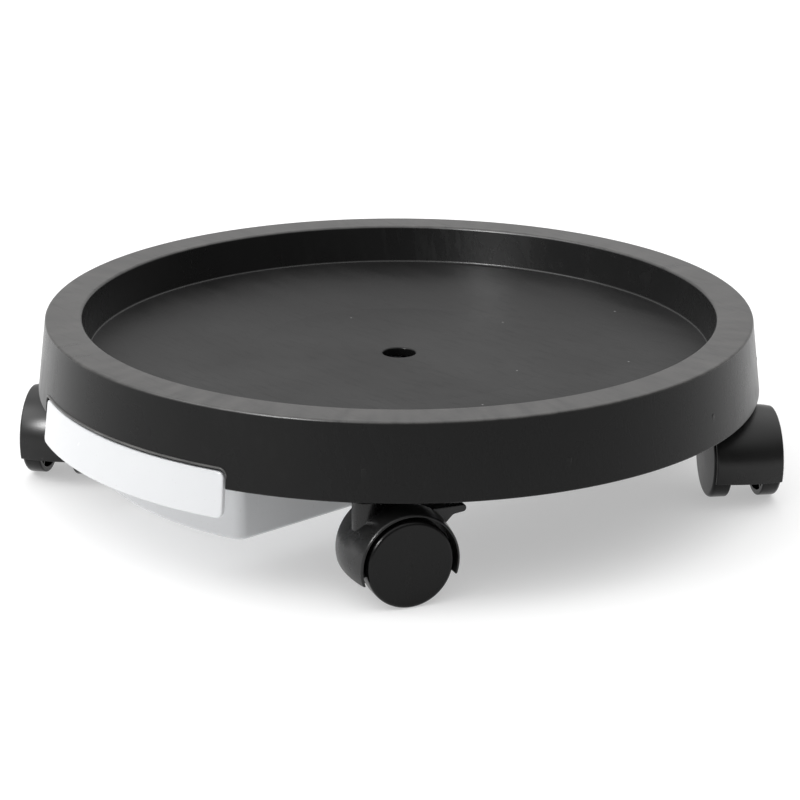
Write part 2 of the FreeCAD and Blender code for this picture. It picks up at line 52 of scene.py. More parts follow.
JOINTS = {joint["name"]: joint for joint in frame["record"]["behaviour"]["joints"]}

# Deck section, read from the frame where the frame gives it. The corners' radii are in deck_section.
DECK_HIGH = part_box("deck")[1]
RIM_Z = DECK_HIGH.z
WALL_FOOT_R = DECK_HIGH.y
WALL_FOOT_Z = -12.6 * MM
RIM_OUTER_R = 170.5 * MM
RIM_INNER_R = 153.0 * MM
FLOOR_FLAT_R = 75.0 * MM                # the floor is flat out to here
FLOOR_EDGE_R = 151.2 * MM
FLOOR_EDGE_Z = 3.7 * MM                 # and rises this much to the inner wall
FLOOR_T = 2.6 * MM
WALL_T = 2.4 * MM
DRAIN_R = 8.0 * MM
DRAIN_COLLAR_R = 10.2 * MM
DRAIN_LENGTH = 4.4 * MM
RIM_UNDER_Z = RIM_Z - FLOOR_T
INNER_BACK_R = FLOOR_EDGE_R + WALL_T
NOTCH_HALF = math.radians(22.9)
NOTCH_TOP_Z = -4.0 * MM
NOTCH_CORNER = 3.5 * MM
DRAWER_SIDE = math.radians(-90)         # the notch and the drawer face -Y


# ---------------------------------------------------------------- mesh helpers

def wall_r(z):
    """Radius of the flared outer wall at a height; the drawer's handle carries it on further down."""
    return RIM_OUTER_R + (RIM_Z - z) * (WALL_FOOT_R - RIM_OUTER_R) / (RIM_Z - WALL_FOOT_Z)


def rounded(corners, segments=5):
    """Closed outline with its corners rounded. Each corner is (u, v, radius)."""
    outline = []
    count = len(corners)
    for i in range(count):
        u, v, radius = corners[i]
        here = Vector((u, v))
        before = Vector(corners[i - 1][:2]) - here
        after = Vector(corners[(i + 1) % count][:2]) - here
        if radius <= 0:
            outline.append(here)
            continue
        half = before.angle(after) / 2
        reach = min(radius / math.tan(half), 0.49 * before.length, 0.49 * after.length)
        radius = reach * math.tan(half)
        middle = here + (before.normalized() + after.normalized()).normalized() * radius / math.sin(half)
        start = (here + before.normalized() * reach - middle).normalized()
        end = (here + after.normalized() * reach - middle).normalized()
        for k in range(segments + 1):
            outline.append(middle + start.slerp(end, k / segments) * radius)
    return outline


def ring_faces(ring_count, point_count, closed):
    """Quads between neighbouring rings of points, each ring a closed loop."""
    faces = []
    for i in range(ring_count if closed else ring_count - 1):
        j = (i + 1) % ring_count
        for k in range(point_count):
            m = (k + 1) % point_count
            here, there = i * point_count, j * point_count
            faces.append((here + k, there + k, there + m, here + m))
    return faces


def swept(rings, closed=False):
    """Mesh through rings of points, with capped ends unless it closes on itself."""
    count = len(rings[0])
    points = [point for ring in rings for point in ring]
    faces = ring_faces(len(rings), count, closed)
    if not closed:
        last = (len(rings) - 1) * count
        faces.append(tuple(range(count)))
        faces.append(tuple(range(last + count - 1, last - 1, -1)))
    return points, faces


def around_z(outline, angle):
    """An (r, z) outline stood up at an angle about Z."""
    return [Vector((p[0] * math.cos(angle), p[0] * math.sin(angle), p[1])) for p in outline]


def lathe(outline, steps=96):
    """Full turn of an (r, z) outline about Z."""
    return swept([around_z(outline, 2 * math.pi * i / steps) for i in range(steps)], closed=True)


def arc_sweep(outline, start, end, steps):
    """Part turn of an (r, z) outline about Z."""
    return swept([around_z(outline, start + (end - start) * i / steps) for i in range(steps + 1)])


def moved(part, matrix):
    """A mesh part carried by a matrix."""
    points, faces = part
    return [matrix @ point for point in points], faces


def joined(parts):
    """Several mesh parts as one."""
    points, faces = [], []
    for part_points, part_faces in parts:
        base = len(points)
        points.extend(part_points)
        faces.extend(tuple(base + index for index in face) for face in part_faces)
    return points, faces


def make_piece(name, part, body, nodes, sharp_degrees=32):
    """Object from a mesh part, smooth but for its sharp edges, riding on its body in place of CAD nodes."""
    mesh = bpy.data.meshes.new(name)
    mesh.from_pydata([tuple(point) for point in part[0]], [], part[1])
    work = bmesh.new()
    work.from_mesh(mesh)
    bmesh.ops.recalc_face_normals(work, faces=work.faces)
    work.to_mesh(mesh)
    work.free()
    mesh.shade_smooth()
    mesh.set_sharp_from_angle(angle=math.radians(sharp_degrees))
    piece = bpy.data.objects.new(name, mesh)
    bpy.context.scene.collection.objects.link(piece)
    mesh.materials.append(MATERIALS[SLOTS[nodes[0]]])
    firm = piece.modifiers.new("firm_normals", "WEIGHTED_NORMAL")
    firm.keep_sharp = True
    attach(piece, body)
    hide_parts(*nodes)
    return piece


def add_bevel(piece, width, segments=2):
    """Rounds a piece's sharp edges."""
    bevel = piece.modifiers.new("edges", "BEVEL")
    bevel.width = width
    bevel.segments = segments
    bevel.limit_method = "ANGLE"
    bevel.angle_limit = math.radians(40)
    bevel.harden_normals = True
    return piece


# ---------------------------------------------------------------- material helpers

class Shader:
    """A material's node tree, with short calls that make a node and link its inputs."""

    def __init__(self, name):
        self.material = bpy.data.materials.new(name)
        self.material.use_nodes = True
        self.tree = self.material.node_tree
        self.surface = self.tree.nodes["Principled BSDF"]
        self.coords = self.node("ShaderNodeTexCoord").outputs["Object"]

    def node(self, kind, inputs=None, **settings):
        made = self.tree.nodes.new(kind)
        for name, value in settings.items():
            setattr(made, name, value)
        for key, value in (inputs or {}).items():
            self.feed(made.inputs[key], value)
        return made

    def feed(self, socket, value):
        if isinstance(value, bpy.types.NodeSocket):
            self.tree.links.new(value, socket)
        else:
            socket.default_value = value

    def math(self, operation, a, b=0.0):
        return self.node("ShaderNodeMath", {0: a, 1: b}, operation=operation).outputs[0]

    def remap(self, value, low, high, to_low=0.0, to_high=1.0):
        inputs = {"Value": value, "From Min": low, "From Max": high, "To Min": to_low, "To Max": to_high}
        return self.node("ShaderNodeMapRange", inputs, clamp=True).outputs["Result"]

    def noise(self, scale, detail=3.0, vector=None, roughness=0.5):
        inputs = {"Vector": vector or self.coords, "Scale": scale, "Detail": detail, "Roughness": roughness}
        return self.node("ShaderNodeTexNoise", inputs).outputs["Fac"]

    def stretched(self, scales, turn=0.0):
        """Object coordinates turned about Z and stretched, for streaks."""
        inputs = {"Vector": self.coords, "Rotation": (0.0, 0.0, turn), "Scale": scales}
        return self.node("ShaderNodeMapping", inputs).outputs["Vector"]

    def mix(self, factor, a, b):
        made = self.node("ShaderNodeMix", data_type="RGBA")
        self.feed(made.inputs["Factor"], factor)
        self.feed(made.inputs["A"], a)
        self.feed(made.inputs["B"], b)
        return made.outputs["Result"]

    def softened(self, width):
        """Normal with its edges rounded, and a mask that is 1 along them and 0 on flat faces."""
        soft = self.node("ShaderNodeBevel", {"Radius": width}, samples=4).outputs["Normal"]
        plain = self.node("ShaderNodeNewGeometry").outputs["Normal"]
        dot = self.node("ShaderNodeVectorMath", {0: soft, 1: plain}, operation="DOT_PRODUCT")
        return soft, self.remap(dot.outputs["Value"], 0.995, 0.85)

    def bump(self, height, distance, strength=1.0, over=None):
        inputs = {"Height": height, "Distance": distance, "Strength": strength}
        if over is not None:
            inputs["Normal"] = over
        return self.node("ShaderNodeBump", inputs).outputs["Normal"]

    def finish(self, color, roughness, normal, **others):
        self.feed(self.surface.inputs["Base Color"], color)
        self.feed(self.surface.inputs["Roughness"], roughness)
        self.feed(self.surface.inputs["Normal"], normal)
        for name, value in others.items():
            self.feed(self.surface.inputs[name.replace("_", " ")], value)
        return self.material


def rgb(value, warmth=0.0):
    """Grey of a linear value, a little warmer or cooler."""
    return (value * (1 + warmth), value, value * (1 - warmth), 1.0)


def dark_plastic(name, base, rough, grain, edge_width=0.5 * MM):
    """Charcoal moulding: fine grain, cloudy colour, scuffed patches, and edges painted paler, partly as edge
    wear and partly as a painted edge highlight.
    """
    s = Shader(name)
    cloud = s.noise(14.0, 4.0)
    fine = s.noise(grain, 2.0)
    scuff = s.remap(s.noise(60.0, 5.0, s.stretched((1.0, 5.0, 1.0), 0.5), 0.65), 0.52, 0.75)
    soft, edge = s.softened(edge_width)
    color = s.mix(cloud, rgb(base * 0.8, -0.03), rgb(base * 1.25, 0.02))
    color = s.mix(s.math("MULTIPLY", scuff, 0.15), color, rgb(base * 2.6))
    # paler edges: partly edge wear, partly a painted edge highlight
    color = s.mix(s.math("MULTIPLY", edge, 0.35), color, rgb(base * 3.5))
    roughness = s.remap(cloud, 0.3, 0.7, rough - 0.05, rough + 0.05)
    roughness = s.math("ADD", roughness, s.math("MULTIPLY", scuff, 0.08))
    return s, color, roughness, s.bump(fine, 0.05 * MM, 0.35, soft)


def deck_material():
    """Deck moulding: rim top painted much lighter as lit from above, in radial streaks; inner wall painted a
    little lighter; matt floor with wiping marks and a few dust specks.
    """
    s, color, roughness, normal = dark_plastic("deck_plastic", 0.007, 0.27, 900.0)
    split = s.node("ShaderNodeSeparateXYZ", {"Vector": s.coords}).outputs
    radius = s.math("SQRT", s.math("ADD", s.math("MULTIPLY", split["X"], split["X"]),
                                   s.math("MULTIPLY", split["Y"], split["Y"])))
    angle = s.math("ARCTAN2", split["Y"], split["X"])
    rim = s.remap(split["Z"], RIM_Z - 1.2 * MM, RIM_Z - 0.4 * MM)
    inside = s.math("LESS_THAN", radius, RIM_INNER_R + 0.3 * MM)
    recess = s.math("MULTIPLY", inside, s.math("GREATER_THAN", split["Z"], -0.5 * MM))
    floor = s.math("MULTIPLY", s.math("LESS_THAN", radius, FLOOR_EDGE_R - 0.6 * MM), recess)
    polar = s.node("ShaderNodeCombineXYZ", {"X": s.math("MULTIPLY", angle, 9.0),
                                            "Y": s.math("MULTIPLY", radius, 14.0),
                                            "Z": split["Z"]}).outputs["Vector"]
    radial = s.noise(2.2, 6.0, polar, 0.62)
    wiped = s.noise(9.0, 5.0, s.stretched((1.0, 3.5, 1.0), 0.35), 0.6)
    specks = s.node("ShaderNodeTexVoronoi", {"Vector": s.coords, "Scale": 34.0}, voronoi_dimensions="2D")
    lot = s.node("ShaderNodeSeparateColor", {"Color": specks.outputs["Color"]}).outputs[0]
    dust = s.math("MULTIPLY", s.math("LESS_THAN", specks.outputs["Distance"], 0.016), floor)
    dust = s.math("MULTIPLY", dust, s.math("GREATER_THAN", lot, 0.9))
    # painted light: the rim's top painted lighter and warmer as lit from above, varied by its radial streaks
    color = s.mix(s.math("MULTIPLY", rim, s.remap(radial, 0.35, 0.72, 0.25, 0.95)), color, rgb(0.07, 0.04))
    color = s.mix(s.math("MULTIPLY", floor, s.remap(wiped, 0.35, 0.7, 0.1, 0.8)), color, rgb(0.016, 0.01))
    color = s.mix(dust, color, rgb(0.2))
    roughness = s.math("ADD", roughness, s.math("MULTIPLY", rim, s.remap(radial, 0.3, 0.7, 0.0, 0.14)))
    roughness = s.math("ADD", roughness, s.math("MULTIPLY", floor, s.remap(wiped, 0.3, 0.7, 0.10, 0.22)))
    inner_wall = s.math("SUBTRACT", recess, floor)
    # painted light: the inner wall painted a little lighter than the outer wall
    color = s.mix(s.math("MULTIPLY", inner_wall, 0.25), color, rgb(0.02))
    level = s.math("ADD", s.math("MULTIPLY", rim, 0.34), s.math("MULTIPLY", inner_wall, 0.25))
    level = s.math("ADD", level, s.math("MULTIPLY", floor, 0.08))
    return s.finish(color, roughness, normal, Specular_IOR_Level=s.math("ADD", level, 0.15))


def castor_material(name, base, rough, shine):
    """Satin nylon of the castors."""
    s, color, roughness, normal = dark_plastic(name, base, rough, 1400.0, 0.6 * MM)
    return s.finish(color, roughness, normal, Specular_IOR_Level=shine)


def painted_lip_highlight_material():
    """Deck plastic painted pale for the notch's bead: a painted highlight of its lit lip, in uneven patches.
    """
    s, color, roughness, normal = dark_plastic("painted_lip_highlight", 0.02, 0.35, 900.0)
    # painted highlight: the bead's lit lip painted pale, in uneven patches
    lip_highlight_patches = s.remap(s.noise(45.0, 4.0), 0.35, 0.6, 0.35, 1.0)
    return s.finish(s.mix(lip_highlight_patches, color, rgb(0.11, 0.02)), roughness, normal, Specular_IOR_Level=0.3)


def white_material():
    """Glossy white moulding: faint flow clouds, hairline scuffs, a trace of grime in the grain, and a
    painted highlight along its edges.
    """
    s = Shader("drawer_plastic")
    cloud = s.noise(11.0, 3.0)
    hairline = s.noise(40.0, 4.0, s.stretched((1.0, 12.0, 1.0), 0.2), 0.7)
    speck = s.remap(s.noise(700.0, 1.0), 0.70, 0.78)
    color = s.mix(cloud, (0.68, 0.69, 0.705, 1.0), (0.73, 0.74, 0.75, 1.0))
    color = s.mix(s.math("MULTIPLY", speck, 0.25), color, (0.55, 0.54, 0.52, 1.0))
    roughness = s.remap(hairline, 0.3, 0.75, 0.19, 0.29)
    soft, edge = s.softened(0.4 * MM)
    # painted highlight: edges lightened towards white
    color = s.mix(s.math("MULTIPLY", edge, 0.3), color, rgb(0.88))
    normal = s.bump(cloud, 0.4 * MM, 0.2, soft)
    return s.finish(color, roughness, normal, Specular_IOR_Level=0.5, Coat_Weight=0.25, Coat_Roughness=0.08)


def steel_material():
    """Zinc-plated steel: turned brush lines, cloudy spangle and duller patches."""
    s = Shader("zinc_steel")
    spangle = s.noise(180.0, 3.0)
    brush = s.noise(30.0, 4.0, s.stretched((1.0, 1.0, 40.0)), 0.6)
    color = s.mix(spangle, (0.50, 0.51, 0.53, 1.0), (0.68, 0.68, 0.67, 1.0))
    roughness = s.remap(brush, 0.3, 0.7, 0.22, 0.42)
    return s.finish(color, roughness, s.bump(brush, 0.02 * MM, 0.5), Metallic=1.0)


MATERIALS = {
    "deck_plastic": deck_material(),
    "castor_plastic": castor_material("castor_plastic", 0.008, 0.28, 0.32),
    "wheel_plastic": castor_material("wheel_plastic", 0.004, 0.22, 0.18),
    "drawer_plastic": white_material(),
    "zinc_steel": steel_material(),
    # painted highlight for the notch's bead
    "painted_lip_highlight": painted_lip_highlight_material(),
}


# ---------------------------------------------------------------- deck

RIB_COUNT = 12
RIB_HALF = 1.0 * MM
RIB_LOW_Z = -9.0 * MM
RIB_INNER_R = 24.0 * MM
RIB_TURN = math.radians(-1.6)
HOOP_R = 112.0 * MM
HOOP_T = 2.0 * MM
BOSS_T = 2.0 * MM
POST_R = 4.2 * MM
POST_BORE_R = 1.6 * MM
POST_SEAT_RISE = 3.0 * MM               # posts end this far above the rail's lowest face
BEAD_R = 0.55 * MM                      # raised edge round the drawer's notch
BEAD_STEPS = 30
RAIL_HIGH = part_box("rail_right")[1]
CHANNEL_X = RAIL_HIGH.x + 1.0 * MM      # ribs stop here, clear of the drawer's rails
CHANNEL_Y = RAIL_HIGH.y + 1.0 * MM


def deck_section(foot_z):
    """The deck's rounded section, from the drain hole out to the wall's foot and back underneath."""
    foot_r = wall_r(foot_z)
    return rounded([
        (DRAIN_R, 0.0, 0.9 * MM),
        (FLOOR_FLAT_R, 0.0, 8.0 * MM),
        (FLOOR_EDGE_R, FLOOR_EDGE_Z, 1.0 * MM),
        (RIM_INNER_R, RIM_Z, 1.4 * MM),
        (RIM_OUTER_R, RIM_Z, 1.2 * MM),
        (foot_r, foot_z, 0.8 * MM),
        (foot_r - WALL_T, foot_z, 0.8 * MM),
        (wall_r(RIM_UNDER_Z) - WALL_T, RIM_UNDER_Z, 1.5 * MM),
        (RIM_INNER_R + WALL_T, RIM_UNDER_Z, 1.5 * MM),
        (INNER_BACK_R, FLOOR_EDGE_Z - FLOOR_T, 0.6 * MM),
        (FLOOR_FLAT_R, -FLOOR_T, 2.0 * MM),
        (DRAIN_COLLAR_R, -FLOOR_T, 0.8 * MM),
        (DRAIN_COLLAR_R, -DRAIN_LENGTH, 0.5 * MM),
        (DRAIN_R, -DRAIN_LENGTH, 0.5 * MM),
    ])


def floor_core_z(r):
    """Height of the middle of the floor's thickness at a radius."""
    return max(0.0, (r - FLOOR_FLAT_R) / (FLOOR_EDGE_R - FLOOR_FLAT_R)) * FLOOR_EDGE_Z - FLOOR_T / 2


def wall_foot(angle):
    """Height of the wall's lower edge at an angle: raised over the notch, with rounded upper corners."""
    inside = (NOTCH_HALF - abs(angle - DRAWER_SIDE)) * WALL_FOOT_R
    if inside <= 0:
        return WALL_FOOT_Z
    if inside >= NOTCH_CORNER:
        return NOTCH_TOP_Z
    rise = math.sqrt(NOTCH_CORNER ** 2 - (NOTCH_CORNER - inside) ** 2)
    return NOTCH_TOP_Z - NOTCH_CORNER + rise


def deck_angles(steps=360):
    """Evenly spaced angles, with extra ones that draw the notch's corners and its upright ends."""
    corner = NOTCH_CORNER / WALL_FOOT_R
    step_off = 1e-5
    turns = [math.remainder(2 * math.pi * (i + 0.5) / steps, 2 * math.pi) for i in range(steps)]
    turns = [turn for turn in turns if not 0 < NOTCH_HALF - abs(turn) < corner]
    for side in (-1, 1):
        for k in range(9):
            inside = corner * (1 - math.cos(math.pi / 2 * k / 8)) + step_off
            turns.append(side * (NOTCH_HALF - inside))
        turns.append(side * (NOTCH_HALF + step_off))
    return sorted(DRAWER_SIDE + turn for turn in turns)


def upright_plate(outline, angle, half=RIB_HALF):
    """Rib: an (r, z) outline given a thickness, stood at an angle about Z."""
    across = Vector((-math.sin(angle), math.cos(angle), 0)) * half
    middle = around_z(outline, angle)
    return swept([[p - across for p in middle], [p + across for p in middle]])


def deck_ribs():
    """Ribs in the hollow rim and under the floor, clear of the drawer's channel, and their hoop."""
    parts = []
    wall_gap = WALL_T / 2
    edge_z = floor_core_z(FLOOR_EDGE_R)
    rim_low_z = RIM_UNDER_Z + wall_gap
    hollow = [(INNER_BACK_R - wall_gap, edge_z), (wall_r(0) - wall_gap, edge_z),
              (wall_r(RIM_UNDER_Z) - wall_gap, rim_low_z), (RIM_INNER_R + wall_gap, rim_low_z)]
    for i in range(RIB_COUNT):
        angle = math.pi * (2 * i + 1) / RIB_COUNT + RIB_TURN
        parts.append(upright_plate(hollow, angle))
        start = CHANNEL_X / abs(math.cos(angle))
        if math.sin(angle) > 0:
            start = min(start, CHANNEL_Y / math.sin(angle))
        if start < FLOOR_EDGE_R:
            start = max(start, RIB_INNER_R)
            outer = wall_r(RIB_LOW_Z) - wall_gap
            bend = max(start, FLOOR_FLAT_R)
            rib = [(start, RIB_LOW_Z), (outer, RIB_LOW_Z), (outer, edge_z), (bend, floor_core_z(bend)),
                   (start - 0.01 * MM, floor_core_z(start))]
            parts.append(upright_plate(rib, angle))
    reach = math.acos(CHANNEL_X / HOOP_R)
    top = floor_core_z(HOOP_R)
    hoop = [(HOOP_R, RIB_LOW_Z), (HOOP_R + HOOP_T, RIB_LOW_Z), (HOOP_R + HOOP_T, top), (HOOP_R, top)]
    parts.append(arc_sweep(hoop, -reach, math.pi + reach, 120))
    return parts


def deck_bosses():
    """Tubular bosses for the castor sockets and posts for the rail screws."""
    parts = []
    for corner in CORNERS:
        low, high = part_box("castor_socket_" + corner)
        centre = (low + high) / 2
        outer = (high.x - low.x) / 2
        inner = outer - BOSS_T
        tube = rounded([(inner, WALL_FOOT_Z, 0), (outer, WALL_FOOT_Z, 0.4 * MM), (outer, RIM_UNDER_Z, 0),
                        (inner, RIM_UNDER_Z, 0)])
        parts.append(moved(lathe(tube, 48), Matrix.Translation((centre.x, centre.y, 0))))
    for side in ("left", "right"):
        for place in ("front", "middle", "back"):
            low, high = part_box(f"rail_screw_{side}_{place}")
            centre = (low + high) / 2
            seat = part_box("rail_" + side)[0].z + POST_SEAT_RISE
            top = floor_core_z(math.hypot(centre.x, centre.y))
            post = rounded([(POST_BORE_R, seat, 0), (POST_R, seat, 0.3 * MM), (POST_R, top, 0),
                            (POST_BORE_R, top, 0)])
            parts.append(moved(lathe(post, 32), Matrix.Translation((centre.x, centre.y, 0))))
    return parts


def notch_bead():
    """Thin raised bead along the notch's top and round its corners, where it fades out."""
    across = NOTCH_HALF * WALL_FOOT_R + BEAD_R
    corner = NOTCH_CORNER + BEAD_R
    top = NOTCH_TOP_Z + BEAD_R
    turns = [math.radians(10 * k) for k in range(1, 10)]
    right = [(across - corner * (1 - math.sin(t)), top - corner * (1 - math.cos(t))) for t in turns]
    reach = across - corner
    straight = [(reach * k / BEAD_STEPS, top) for k in range(-BEAD_STEPS, BEAD_STEPS + 1)]
    path = [(-u, z) for u, z in reversed(right)] + straight + right
    centres = [around_z([(wall_r(z), z)], DRAWER_SIDE + u / WALL_FOOT_R)[0] for u, z in path]
    rings = []
    for i, centre in enumerate(centres):
        ahead = centres[min(i + 1, len(centres) - 1)]
        along = (ahead - centres[max(i - 1, 0)]).normalized()
        aside = along.cross(Vector((centre.x, centre.y, 0)).normalized()).normalized()
        outward = aside.cross(along)
        radius = BEAD_R * min(1.0, 0.15 + min(i, len(centres) - 1 - i) / len(turns))
        ring = []
        for k in range(12):
            t = 2 * math.pi * k / 12
            ring.append(centre + (outward * math.cos(t) + aside * math.sin(t)) * radius)
        rings.append(ring)
    return swept(rings)


def build_deck():
    """The deck's shell with its ribs and bosses, and the bead round its notch, painted pale as a highlit
    lip.
    """
    shell = swept([around_z(deck_section(wall_foot(a)), a) for a in deck_angles()], closed=True)
    make_piece("deck_moulding", joined([shell] + deck_ribs() + deck_bosses()), "deck", ["deck"])
    bead = make_piece("deck_notch_bead", notch_bead(), "deck", ["deck"])
    # the bead takes the painted lip highlight
    bead.data.materials[0] = MATERIALS["painted_lip_highlight"]


# ---------------------------------------------------------------- drawer

DRAWER_LOW, DRAWER_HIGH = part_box("drawer")
HANDLE_HALF = math.radians(22.5)
HANDLE_TOP_Z = DRAWER_HIGH.z
HANDLE_FOOT_Z = -26.0 * MM
HANDLE_T = 3.0 * MM
HANDLE_CORNER = 3.0 * MM
HANDLE_EDGE = 0.7 * MM
TRAY_HALF = 52.0 * MM
TRAY_FRONT_R = 150.0 * MM
TRAY_BACK_Y = DRAWER_HIGH.y
TRAY_TOP_Z = HANDLE_TOP_Z - 0.6 * MM
TRAY_FOOT_Z = DRAWER_LOW.z
TRAY_T = 2.2 * MM
TRAY_CORNER = 9.0 * MM
LIP_HALF = 59.2 * MM
LIP_T = 2.4 * MM
LIP_FRONT_Y = -136.0 * MM
APRON_T = 2.4 * MM
GUSSET_TURN = math.radians(14)
GUSSET_OUTER_DEPTH = 4.0 * MM
GUSSET_INNER_DEPTH = 14.0 * MM


def tray_outline(inset, z):
    """Plan of the tray at a height: straight sides and back, curved front, round corners."""
    half = TRAY_HALF - inset
    back_y = TRAY_BACK_Y - inset
    front_r = TRAY_FRONT_R - inset
    reach = math.asin(half / front_r)
    corner = max(TRAY_CORNER - inset, 1.0 * MM)
    steps = 12
    points = []
    for t in range(-steps, steps + 1):
        turn = reach * t / steps
        if abs(t) != steps - 1:         # left out, to make room for the corner's rounding
            radius = corner if abs(t) == steps else 0.0
            points.append((front_r * math.sin(turn), -front_r * math.cos(turn), radius))
    points += [(half, back_y, corner), (-half, back_y, corner)]
    return [Vector((p.x, p.y, z)) for p in rounded(points, 8)]


def quarter(part):
    """Heights off the start and below the end of a quarter round, at a part of its turn."""
    turn = math.pi / 2 * part
    return 1 - math.cos(turn), 1 - math.sin(turn)


def tray_shell():
    """Thin-walled tray with a rounded foot and a rolled upper edge."""
    foot_round = 2.0 * MM
    top_round = 0.6 * MM
    inner_foot_z = TRAY_FOOT_Z + TRAY_T
    stations = []
    for k in range(7):
        level, drop = quarter(k / 6)
        stations.append((foot_round * drop, TRAY_FOOT_Z + foot_round * level))
    for k in range(5):
        level, drop = quarter(k / 4)
        stations.append((top_round * level, TRAY_TOP_Z - top_round * drop))
    for k in range(5):
        level, drop = quarter(k / 4)
        stations.append((TRAY_T - top_round * drop, TRAY_TOP_Z - top_round * level))
    for k in range(7):
        level, drop = quarter(k / 6)
        stations.append((TRAY_T + foot_round * level, inner_foot_z + foot_round * drop))
    return swept([tray_outline(inset, z) for inset, z in stations])


def rounded_bar(low, high, radius):
    """Straight bar along Y with rounded long edges."""
    section = rounded([(low[0], low[2], radius), (high[0], low[2], radius), (high[0], high[2], radius),
                       (low[0], high[2], radius)], 3)
    return swept([[Vector((p.x, y, p.y)) for p in section] for y in (low[1], high[1])])


def handle_part():
    """Curved handle on the wall's flare, with round corners and softened edges."""
    length = 2 * HANDLE_HALF * WALL_FOOT_R
    ends = [HANDLE_CORNER * quarter(k / 8)[0] for k in range(9)]
    middle = [HANDLE_CORNER + (length - 2 * HANDLE_CORNER) * k / 64 for k in range(1, 64)]
    stations = ends + middle + [length - station for station in reversed(ends)]
    rings = []
    for station in stations:
        inside = min(station, length - station)
        corner = max(HANDLE_CORNER - inside, 0.0)
        drop = HANDLE_CORNER - math.sqrt(HANDLE_CORNER ** 2 - corner ** 2)
        edge = max(HANDLE_EDGE - inside, 0.0)
        thin = 0.8 * (HANDLE_EDGE - math.sqrt(HANDLE_EDGE ** 2 - edge ** 2))
        high, low = HANDLE_TOP_Z - drop, HANDLE_FOOT_Z + drop
        corners = []
        for z, depths in ((low, (HANDLE_T - thin, thin)), (high, (thin, HANDLE_T - thin))):
            corners += [(wall_r(z) - depth, z, HANDLE_EDGE) for depth in depths]
        rings.append(around_z(rounded(corners, 4), DRAWER_SIDE - HANDLE_HALF + station / WALL_FOOT_R))
    return swept(rings)


def build_drawer():
    """The tray with its handle, side lips, apron and gussets."""
    parts = [tray_shell(), handle_part()]
    for side in (-1, 1):
        near, far = sorted((side * (TRAY_HALF - TRAY_T / 2), side * LIP_HALF))
        low, high = (near, LIP_FRONT_Y, TRAY_TOP_Z - LIP_T), (far, TRAY_BACK_Y, TRAY_TOP_Z)
        parts.append(rounded_bar(low, high, 0.5 * MM))
    apron_foot = HANDLE_TOP_Z - APRON_T
    apron_outer = wall_r(HANDLE_TOP_Z) - HANDLE_T / 2
    apron_inner = TRAY_FRONT_R - TRAY_T / 2
    apron_top = HANDLE_TOP_Z - 0.2 * MM
    apron = [(apron_inner, apron_foot), (apron_outer, apron_foot), (apron_outer, apron_top),
             (apron_inner, apron_top)]
    reach = HANDLE_HALF - math.radians(1)
    parts.append(arc_sweep(apron, DRAWER_SIDE - reach, DRAWER_SIDE + reach, 48))
    gusset_top = apron_foot + APRON_T / 2
    gusset = [(apron_inner, gusset_top), (apron_outer, gusset_top),
              (apron_outer, apron_foot - GUSSET_OUTER_DEPTH), (apron_inner, apron_foot - GUSSET_INNER_DEPTH)]
    for side in (-1, 1):
        parts.append(upright_plate(gusset, DRAWER_SIDE + side * GUSSET_TURN))
    return make_piece("drawer_moulding", joined(parts), "drawer", ["drawer"])


# ---------------------------------------------------------------- castors

WHEEL_R = 20.0 * MM
WHEEL_INNER = 7.8 * MM
WHEEL_OUTER = 17.0 * MM
WHEEL_DISC_T = 2.4 * MM
WHEEL_RIM_T = 2.6 * MM
WHEEL_HUB_R = 5.2 * MM
WHEEL_BORE_R = 2.55 * MM
WHEEL_BORE_END = 15.4 * MM
WHEEL_CENTRE_R = 0.2 * MM               # moulding pinhole in the middle of the face
SPOKES = 6
SPOKE_HALF = 0.8 * MM


def wheel_part():
    """One wheel about Z, from its spoked inner side up to its domed outer face."""
    shoulder = WHEEL_OUTER - 0.4 * MM
    dish = WHEEL_OUTER - WHEEL_DISC_T
    outline = rounded([
        (WHEEL_CENTRE_R, WHEEL_OUTER, 0), (WHEEL_R * 0.45, WHEEL_OUTER - 0.1 * MM, 0),
        (WHEEL_R, shoulder, 1.9 * MM), (WHEEL_R, WHEEL_INNER, 0.6 * MM),
        (WHEEL_R - WHEEL_RIM_T, WHEEL_INNER, 0.4 * MM), (WHEEL_R - WHEEL_RIM_T, dish, 0.8 * MM),
        (WHEEL_HUB_R, dish, 0.8 * MM), (WHEEL_HUB_R, WHEEL_INNER, 0.3 * MM),
        (WHEEL_BORE_R, WHEEL_INNER, 0.3 * MM), (WHEEL_BORE_R, WHEEL_BORE_END, 0),
        (WHEEL_CENTRE_R, WHEEL_BORE_END, 0)], 6)
    parts = [lathe(outline, 96)]
    start, end = WHEEL_HUB_R - 0.5 * MM, WHEEL_R - WHEEL_RIM_T / 2
    spoke_foot = WHEEL_INNER + 1.0 * MM
    spoke = [(start, spoke_foot), (end, spoke_foot), (end, dish), (start, dish)]
    for i in range(SPOKES):
        parts.append(upright_plate(spoke, 2 * math.pi * i / SPOKES, SPOKE_HALF))
    return joined(parts)


def build_wheels():
    """Two wheels on each castor, each facing outwards along its own joint's axis."""
    part = wheel_part()
    for corner in CORNERS:
        for label, side in (("a", 1), ("b", -1)):
            joint = JOINTS[f"roll_{label}_{corner}"]
            axis = Vector(joint["axis"]) * side
            turn = axis.to_track_quat("Z", "Y").to_matrix().to_4x4()
            place = Matrix.Translation(joint["pos_m"]) @ turn
            which = label + "_" + corner
            nodes = ["castor_wheel_" + which]
            make_piece("rolling_wheel_" + which, moved(part, place), "wheel_" + which, nodes)


LEVER_HALF = 5.0 * MM
LEVER_OUTLINE_MM = ((9.0, 20.0, 1.0), (30.5, 20.0, 1.55), (30.5, 16.8, 1.55), (24.3, 16.0, 3.0),
                    (20.5, 12.0, 2.0), (16.5, 9.0, 2.0), (9.0, 9.0, 1.0))


